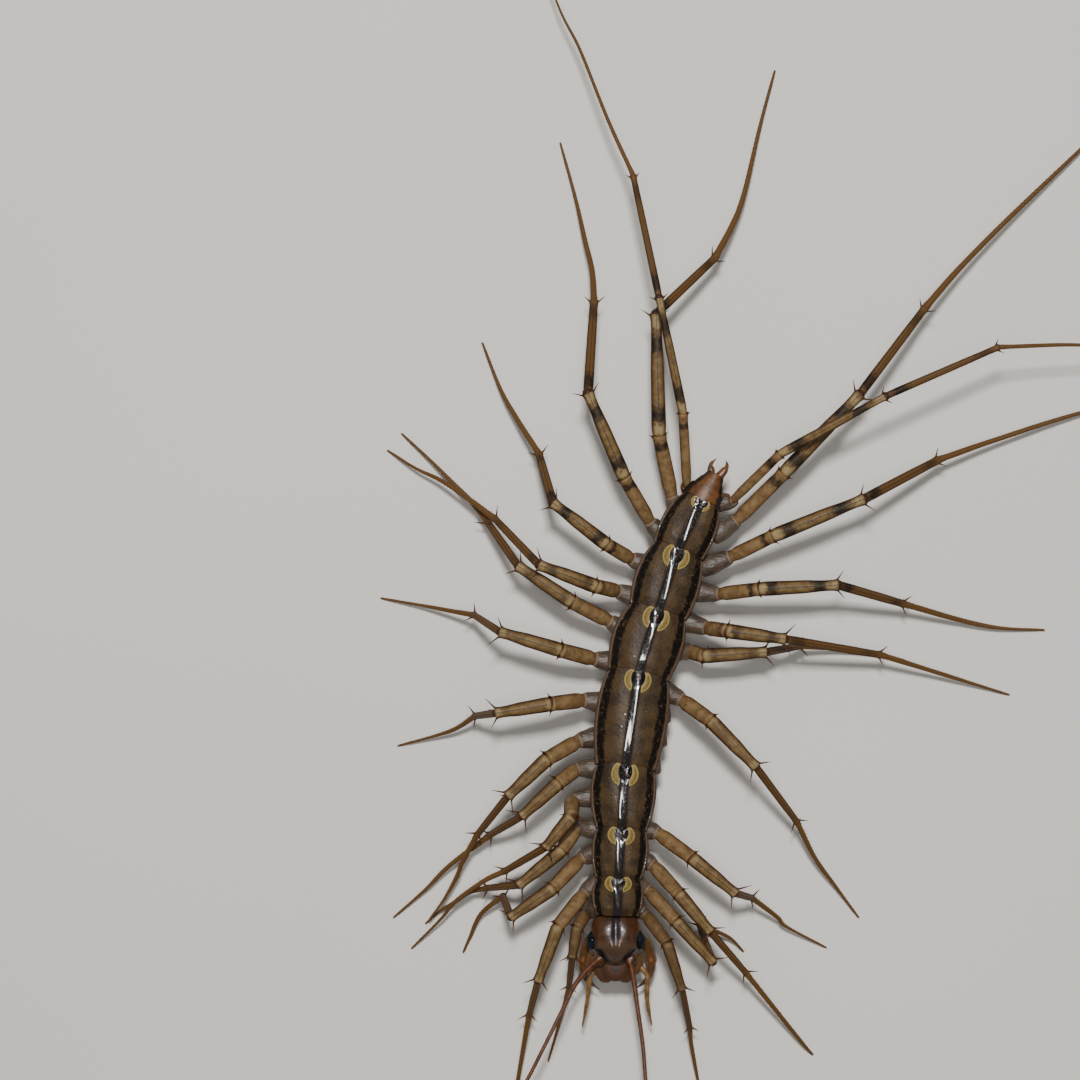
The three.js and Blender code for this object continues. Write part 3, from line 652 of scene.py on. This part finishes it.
def make_trunk(finish):
    """One soft skin for the sides, the belly and the hips"""
    bm = bmesh.new()
    last = len(MEDIAN) - 1

    def line(t):
        return median(t * last) + UP * (TRUNK_MIDDLE + 0.25 * smooth(t, 0.85, 1))

    def section(turn, t):
        angle = (turn - 0.5) * 2 * math.pi
        half = half_width(t * last) * 0.8
        depth = 1.2 * (1 - 0.5 * smooth(t, 0.86, 1))
        high = math.cos(angle)
        wide = math.sin(angle)
        return 1 / math.sqrt((wide / half) ** 2 + (high / depth) ** 2)

    def fullness(t):
        return smooth(t, -0.02, 0.02) * (1 - 0.4 * smooth(t, 0.96, 1))

    tube(bm, line, fullness, 200, 48, section=section)
    for points in list(LEGS.values()) + STUMPS:
        root, hip = place(*points[0]), place(*points[1])
        out = (place(*points[2]) - hip).normalized() if len(points) > 2 else (hip - root).normalized()
        inward = (root - hip).normalized()
        chain = [root + inward * 0.9, root, hip - out * 0.1, hip]

        tube(bm, lambda t: curve_point(chain, t * 3), lambda t: profile(t, HIP_SHAPE), 20, 18,
             section=lambda turn, t: 1 - 0.2 * abs(math.cos(turn * 2 * math.pi)) * (1 - t))
    bm = remeshed(bm, TRUNK_GRAIN)
    tail = layer_of(bm, "tail")
    start, end = median(6.9).y, median(7.3).y
    for v in bm.verts:
        v[tail] = smooth(v.co.y, start, end)
    trunk_nodes = [f"trunk_{n}" for n in range(1, PLATES + 1)]
    finish_piece("trunk_skin", bm, finish, trunk_nodes + ["tail"])


# Length of the pale lobes on each back plate
LOBE_LENGTH = [0.8, 0.9, 1.05, 1.3, 1.3, 1.25, 0.85]


def make_plate(index, finish):
    """A back plate: a curved shield with a cleft and two raised lobes at its rear margin"""
    bm = bmesh.new()
    layers = {name: layer_of(bm, name) for name in ("across", "share", "lobe", "saddle", "rear")}
    made = bmesh.ops.create_grid(bm, x_segments=88, y_segments=84, size=1)["verts"]
    span = (median(index + 1) - median(index)).length
    lobe_long = LOBE_LENGTH[index]
    lobe_wide = 0.74 if index < PLATES - 1 else 0.52
    spots = []
    for v in made:
        u = v.co.x
        t = (v.co.y + 1) / 2
        bulge = 0.87 + 0.155 * math.sin(math.pi * min(max(t, 0.001), 0.999)) ** 0.8
        half = half_width(index + t) * bulge
        across = u * half
        corner = 0.1 * abs(u) ** 6 * smooth(t, 0.5, 1) - 0.05 * abs(u) ** 6 * (1 - smooth(t, 0, 0.5))
        cleft = 0.2 / span * math.exp(-(across / 0.28) ** 2) * smooth(t, 0.8, 1)
        s = index + t * (1 + PLATE_OVERLAP - corner - cleft)
        side, _ = median_frame(min(s, index + 1 + PLATE_OVERLAP))
        rear = (1 - t) * span
        outer = 1 - math.hypot((abs(across) - 0.1) / lobe_wide, (rear / lobe_long - 0.48) / 0.6)
        saddle = 1 - math.hypot(across / 0.45, (rear / lobe_long - 0.36) / 0.5)
        lobe = min(outer * 1.6, -saddle * 1.6, (abs(across) - 0.3) * 4)
        top = PLATE_TOP + 0.08 * smooth(t, 0.2, 1) - (0.08 if index else 0.22) * (1 - smooth(t, 0, 0.2))
        top += 0.012 * span * math.sin(math.pi * min(max(t, 0), 1))
        top += 0.07 * smooth(lobe, 0, 0.4) + 0.02 * smooth(saddle, 0, 0.9)
        top += 0.05 * math.exp(-(across / 0.28) ** 4) * (1 - 0.7 * smooth(saddle, -0.2, 0.2))
        top -= 0.8 * abs(u) ** 2.3 * (half / 2.1)
        top += 0.07 * smooth(abs(u), 0.92, 0.96)
        top += 0.03 * math.sin(u * 9 + t * 5 + index) * (1 - abs(u))
        v.co = median(s) + side * -across + UP * top
        for name, value in zip(layers, (across, u, lobe, saddle, rear)):
            v[layers[name]] = value
        if random.random() < 0.03 and abs(u) < 0.9 and 0.05 < t < 0.97:
            spots.append(v.co.copy())
    rearward = (median(index + 1) - median(index)).normalized()
    bmesh.ops.recalc_face_normals(bm, faces=bm.faces)
    bmesh.ops.solidify(bm, geom=bm.faces, thickness=PLATE_WALL)
    lean = (rearward + UP * 0.6).normalized()
    hairs = [(spot, spot + lean * random.uniform(0.08, 0.15), 0.016) for spot in spots]
    add_spikes(bm, hairs, {"across": 0.0, "share": 0.8, "lobe": -1.0, "saddle": -1.0, "rear": 1.0})
    finish_piece(f"tergite_{index + 1}", bm, finish, [f"trunk_{index + 1}"])


# The small last plates: start and end on the median line, share of its width, and height
TAIL_PLATES = [(6.97, 7.45, 0.92, 5.55), (7.38, 7.8, 0.84, 5.35), (7.7, 8.05, 0.8, 5.1)]


def make_tail(finish):
    """The small last plates, and the pair of claspers"""
    bm = bmesh.new()
    share = layer_of(bm, "share")
    for low, high, wide, top in TAIL_PLATES:
        made = bmesh.ops.create_grid(bm, x_segments=36, y_segments=24, size=1)["verts"]
        for v in made:
            u, t = v.co.x, (v.co.y + 1) / 2
            s = low + (high - low) * t * (1 - 0.15 * abs(u) ** 4)
            side, _ = median_frame(min(s, 7.9))
            half = half_width(s)
            height = top + 0.08 * t - 0.55 * abs(u) ** 2.2 * half
            v.co = median(s) - side * (u * half * wide) + UP * height
            v[share] = u
    bmesh.ops.recalc_face_normals(bm, faces=bm.faces)
    bmesh.ops.solidify(bm, geom=bm.faces, thickness=TAIL_WALL)
    for points in GONOPODS:
        places = [place(*p[:3]) for p in points]
        radii = [(i / 3, p[3]) for i, p in enumerate(points)]
        tube(bm, lambda t: curve_point(places, t * 3), lambda t: profile(t, radii), 24, 14,
             marks={"share": lambda turn, t: 0.0})
    finish_piece("tail_plates", bm, finish, ["tail"])


# Legs

# Share of the radius along the three long segments
ARTICLE_SHAPES = [
    [(0, 0.62), (0.06, 0.84), (0.22, 1.0), (0.7, 0.98),
     (0.9, 0.93), (0.96, 1.0), (0.985, 1.0), (1, 0.86)],
    [(0, 0.8), (0.04, 1.0), (0.1, 1.08), (0.5, 1.0),
     (0.85, 0.8), (0.93, 0.82), (0.975, 0.92), (1, 0.74)],
    [(0, 0.8), (0.05, 1.0), (0.12, 1.05), (0.6, 0.98), (0.93, 0.88), (0.98, 1.0), (1, 0.8)],
]

# Spikes at the end of each of the three: reach, lean and angles
END_SPIKES = [
    (0.5, 0.8, (15, 165, 265)),
    (0.9, 0.75, (0, 180, 250)),
    (0.72, 0.9, (12, 168, 270)),
]

# Share of the foot's radius along it
FOOT_SHAPE = [(0, 1.45), (0.06, 1.2), (0.4, 0.95), (0.9, 0.55), (1, 0.4)]


def make_leg(name, points, finish):
    bm = bmesh.new()
    pair = int(name[-2:])
    *radii, bold = BUILD[pair]
    hip, joint, knee, ankle = (place(*p) for p in points[1:5])
    steady = {"bold": lambda turn, t: bold, "turn": lambda turn, t: turn}
    dark = {"along": 8.0, "bold": 0.0, "turn": 0.0}

    def keels(turn, t):
        ridge = 0.035 * smooth(t, 0.04, 0.15) * (1 - smooth(t, 0.88, 0.97))
        return 1 + ridge * math.cos(turn * KEELS * 2 * math.pi)

    def article(start, end, order, bow):
        ahead = (end - start).normalized()
        start = start - ahead * (0.12 if order else 0)
        end = end + ahead * (0.06 if order == 0 else 0.1)
        chain = [start, (start + end) / 2 + UP * bow, end]

        def line(t):
            return curve_point(chain, t * 2)

        def radius(t):
            return radii[order] * profile(t, ARTICLE_SHAPES[order])

        marks = {"along": lambda turn, t: order + min(max(t, 0.001), 0.999), **steady}
        tube(bm, line, radius, max(int((end - start).length / 0.09), 20), 24, marks, keels)
        return line, radius

    lengths = [
        article(hip, joint, 0, 0.08),
        article(joint, knee, 1, 0.12),
        article(knee, ankle, 2, 0.04),
    ]
    inner = hip + (place(*points[0]) - hip).normalized() * 0.25
    outer = hip + (joint - hip).normalized() * 0.12
    tube(bm, lambda t: inner.lerp(outer, t),
         lambda t: radii[0] * profile(t, [(0, 0.7), (0.5, 0.92), (1, 0.66)]), 10, 20,
         marks={"along": lambda turn, t: -0.3 + 0.3 * t, **steady})
    for middle, along, size in ((knee, 2.03, radii[2] * 1.15), (ankle, 3.03, radii[2] * 0.76)):
        add_ball(bm, middle, (size, size, size), {"along": along, "bold": bold, "turn": 0.0}, 3)
    for start, end, size in ((hip, joint, radii[0] * 0.93), (joint, knee, radii[1] * 0.74)):
        side, _ = frame_at((end - start).normalized())
        for outward in (-1, 1):
            add_ball(bm, end + side * outward * size, (PEG, PEG, PEG), dark, 2)

    tarsus = [ankle] + [place(*p) for p in points[5:]]
    steps = len(tarsus) - 1
    run = sum((b - a).length for a, b in zip(tarsus, tarsus[1:]))
    rings = max(int(run / FOOT_RING), 16)

    def tarsus_radius(t):
        swell = 1 + 0.05 * math.cos(t * rings * 2 * math.pi)
        return radii[3] * profile(t, FOOT_SHAPE) * swell

    def tarsus_line(t):
        return curve_point(tarsus, t * steps)

    tube(bm, tarsus_line, tarsus_radius, rings * 4, 12,
         marks={"along": lambda turn, t: 3.0 + t, **steady})

    end = tarsus_line(1)
    ahead = (end - tarsus_line(0.97)).normalized()
    spike(bm, end - ahead * 0.2, end + ahead * 0.01, 0.035, dark)

    for (line, radius), (reach, lean, angles) in zip(lengths, END_SPIKES):
        far = line(0.965)
        ahead = (line(1) - line(0.9)).normalized()
        side, up = frame_at(ahead)
        for degrees in angles:
            turn = math.radians(degrees + random.uniform(-8, 8))
            out = side * math.cos(turn) + up * math.sin(turn)
            root = far + out * radius(0.95) * 0.7
            length = reach * random.uniform(0.8, 1.1) * (radii[0] / 0.48)
            spike(bm, root, root + (out + ahead * lean).normalized() * length, 0.075, dark, 6)

    bristles = []
    for (line, radius), density in zip(lengths, (0.2, 0.15, 0.16)):
        size = (line(1) - line(0)).length
        count = int(size / density)
        for edge in range(KEELS):
            angle = edge * 2 * math.pi / KEELS
            for i in range(count):
                t = 0.08 + 0.85 * (i + random.uniform(0.2, 0.8)) / count
                ahead = (line(t + 0.02) - line(t - 0.02)).normalized()
                side, up = frame_at(ahead)
                out = side * math.sin(angle) + up * math.cos(angle)
                base = line(t) + out * radius(t) * 0.97
                lean = (out * 0.55 + ahead).normalized()
                bristles.append((base, base + lean * random.uniform(0.08, 0.15), 0.014))
    for i in range(rings * 2):
        t = (i + 0.5) / rings / 2
        along = (tarsus_line(min(t + 0.01, 1)) - tarsus_line(t)).normalized() if t < 0.99 else ahead
        side, up = frame_at(along)
        out = side * (1 if i % 2 else -1) - up * random.uniform(0.2, 0.9)
        base = tarsus_line(t) + out.normalized() * tarsus_radius(t) * 0.9
        bristles.append((base, base + (out.normalized() * 0.6 + along).normalized() * 0.12, 0.013))
    add_spikes(bm, bristles, dark)
    finish_piece(f"leg_{name}_shell", bm, finish, [f"leg_{name}"])


# Head

def make_head(finish):
    """The head capsule, wide at the eyes, with antenna sockets and a blunt front"""
    bm = bmesh.new()
    centre = place(*HEAD_CENTRE)
    made = bmesh.ops.create_icosphere(bm, subdivisions=5, radius=1)["verts"]
    for v in made:
        x, y, z = v.co
        back = 1.9 * (abs(y) ** 0.9) * (1 if y > 0 else -1)
        wide = 1.56 - 0.06 * smooth(y, 0.55, 1) if y > 0 else 1.56 - 0.6 * smooth(-y, 0.25, 1)
        high = z * (1.12 if z > 0 else 0.9) * (1 - 0.12 * smooth(abs(y), 0.5, 1))
        if z > 0:
            high -= 0.5 * smooth(-y, 0.2, 1.1) * z
        v.co = centre + Vector((x * wide * 1.03, back, high))
    for outward in (-1, 1):
        add_ball(bm, centre + Vector((outward * 0.95, -1.35, 0.12)), (0.42, 0.45, 0.36))
        add_ball(bm, centre + Vector((outward * 1.3, -0.1, -0.35)), (0.4, 1.1, 0.6))
        add_ball(bm, centre + Vector((outward * 0.6, -2.15, -0.5)), (0.62, 0.72, 0.42))
        add_ball(bm, centre + Vector((outward * 0.95, -1.55, -0.8)), (0.8, 0.95, 0.4))
    add_ball(bm, centre + Vector((0, -1.95, -0.15)), (0.85, 0.8, 0.42))
    bm = remeshed(bm, HEAD_GRAIN)
    layers = {name: layer_of(bm, name) for name in ("across", "back", "under")}
    for v in bm.verts:
        across, back, high = v.co - centre
        top = smooth(high, 0.1, 0.6)
        vee = abs(across) - VEE_SLOPE * back - VEE_REACH
        v.co.z -= 0.09 * math.exp(-(across / 0.2) ** 2) * smooth(back, -0.6, 0.2) * top
        brow = smooth(-back, 0.55, 0.8) * (1 - smooth(-back, 1.4, 1.7))
        v.co.z -= 0.07 * math.exp(-(vee / 0.09) ** 2) * brow * top
        v.co.z += 0.1 * math.exp(-((abs(across) - 0.8) / 0.45) ** 2 - ((back - 0.4) / 0.7) ** 2) * top
        v.co.z += 0.05 * math.exp(-((abs(across) - 0.2) / 0.12) ** 2 - ((back + 0.55) / 0.25) ** 2) * top
        v.co.z += 0.06 * math.exp(-((abs(across) - 1.1) / 0.16) ** 2 - ((back + 0.1) / 0.7) ** 2) * top
        v.co.z += 0.06 * math.exp(-((abs(across) - 0.3) / 0.2) ** 2 - ((back + 0.75) / 0.45) ** 2) * top
        v[layers["across"]] = across
        v[layers["back"]] = back
        v[layers["under"]] = smooth(-high, 0.1, 0.6)
    finish_piece("head_capsule", bm, finish, ["head"])


def make_eye(name, finish):
    bm = bmesh.new()
    bmesh.ops.create_icosphere(bm, subdivisions=5, radius=1)
    outward = -1 if name.endswith("right") else 1
    centre = place(*EYES[name])
    for v in bm.verts:
        x, y, z = v.co
        narrow = 1 - 0.35 * smooth(y, 0, 1)
        v.co = centre + Vector((x * 0.36 * narrow, y * 0.62, z * 0.5 * narrow))
        v.co.x += outward * -0.06 * smooth(y, 0.2, 1)
    finish_piece(f"{name}_lens", bm, finish, [name])


def make_feeler(name, points, finish, rings, bristles):
    bm = bmesh.new()
    places = [place(*p[:3]) for p in points]
    last = len(points) - 1
    radii = [(i / last, p[3] * 0.86) for i, p in enumerate(points)]

    def line(t):
        return curve_point(places, t * last)

    def radius(t):
        return profile(t, radii) * (1 + 0.1 * math.cos(t * rings * 2 * math.pi) * smooth(t, 0.02, 0.08))

    tube(bm, line, radius, rings * 4, 12, marks={"along": lambda turn, t: t})
    for i in range(bristles):
        t = 0.03 + 0.95 * i / bristles
        ahead = (line(min(t + 0.01, 1)) - line(t - 0.01)).normalized()
        side, up = frame_at(ahead)
        angle = random.uniform(0, 2 * math.pi)
        out = side * math.cos(angle) + up * math.sin(angle)
        base = line(t) + out * radius(t) * 0.9
        spike(bm, base, base + (out * 0.7 + ahead).normalized() * 0.13, 0.012, {"along": t}, 3)
    finish_piece(f"{name}_rings", bm, finish, [name])


def make_forcipule(name, points, finish):
    bm = bmesh.new()
    places = [place(*p) for p in points]
    radii = [(0, 0.4), (0.22, 0.46), (0.42, 0.36), (0.5, 0.38),
             (0.54, 0.3), (0.74, 0.2), (0.95, 0.05), (1, 0.02)]
    tube(bm, lambda t: curve_point(places, t * 4), lambda t: profile(t, radii), 64, 24,
         marks={"along": lambda turn, t: t})
    finish_piece(f"{name}_claw", bm, finish, [name])


# Floor, light and camera

# Name, place and aim in metres, size in metres and power in watts of each lamp
LIGHTS = [
    ("key", (-0.015, 0.075, 0.32), (-0.01, 0, 0), 0.03, 1.25),
    ("top", (-0.012, -0.012, 0.36), (-0.01, 0, 0), 0.07, 0.32),
    ("fill", (-0.35, 0.3, 0.35), (0, 0, 0), 0.4, 0.13),
]
ROOM_LIGHT = 0.14
FLOOR_HALF = 1.5
FLOOR_GAP = 0.00001

def make_stage():
    bm = bmesh.new()
    bmesh.ops.create_grid(bm, x_segments=1, y_segments=1, size=FLOOR_HALF)
    bmesh.ops.translate(bm, vec=(0, 0, -FLOOR_GAP), verts=bm.verts)
    mesh = bpy.data.meshes.new("floor")
    bm.to_mesh(mesh)
    bm.free()
    mesh.materials.append(floor_finish())
    floor = bpy.data.objects.new("floor", mesh)
    bpy.context.scene.collection.objects.link(floor)


def make_light(name, where, aim, size, power):
    data = bpy.data.lights.new(name, "AREA")
    data.size = size
    data.energy = power
    light = bpy.data.objects.new(name, data)
    bpy.context.scene.collection.objects.link(light)
    light.location = where
    light.rotation_euler = (Vector(aim) - Vector(where)).to_track_quat("-Z", "Y").to_euler()


def make_camera():
    data = bpy.data.cameras.new("camera")
    data.sensor_width = SENSOR
    data.lens = SENSOR * VIEW_HEIGHT / (VIEW_WIDTH / PIXELS_PER_MM)
    data.clip_start = 0.01
    camera = bpy.data.objects.new("camera", data)
    bpy.context.scene.collection.objects.link(camera)
    camera.location = (-ORIGIN[0] * MM, -ORIGIN[1] * MM, VIEW_HEIGHT * MM)
    bpy.context.scene.camera = camera


make_camera()
make_stage()
for light in LIGHTS:
    make_light(*light)
world = bpy.data.worlds.new("soft_room")
world.use_nodes = True
world.node_tree.nodes["Background"].inputs["Color"].default_value = (1, 0.98, 0.95, 1)
world.node_tree.nodes["Background"].inputs["Strength"].default_value = ROOM_LIGHT
bpy.context.scene.world = world

plate_chitin = plate_finish()
leg_chitin = leg_finish()
make_trunk(pleura_finish())
for number in range(PLATES):
    make_plate(number, plate_chitin)
make_tail(tail_finish())
make_head(head_finish())
eye_gloss = eye_finish()
for eye in EYES:
    make_eye(eye, eye_gloss)
antenna_chitin = feeler_finish("antenna_chitin", tint("5e320c"), tint("381a08"), ANTENNA_RINGS)
for feeler, feeler_points in FEELERS.items():
    make_feeler(feeler, feeler_points, antenna_chitin, ANTENNA_RINGS, ANTENNA_BRISTLES)
palp_chitin = feeler_finish("palp_chitin", tint("7a5a2e"), tint("56381a"), 0)
for feeler, feeler_points in PALPS.items():
    make_feeler(feeler, feeler_points, palp_chitin, PALP_RINGS, PALP_BRISTLES)
claw_chitin = forcipule_finish()
for claw_name, claw_points in FORCIPULES.items():
    make_forcipule(claw_name, claw_points, claw_chitin)
for leg_name, leg_points in LEGS.items():
    make_leg(leg_name, leg_points, leg_chitin)
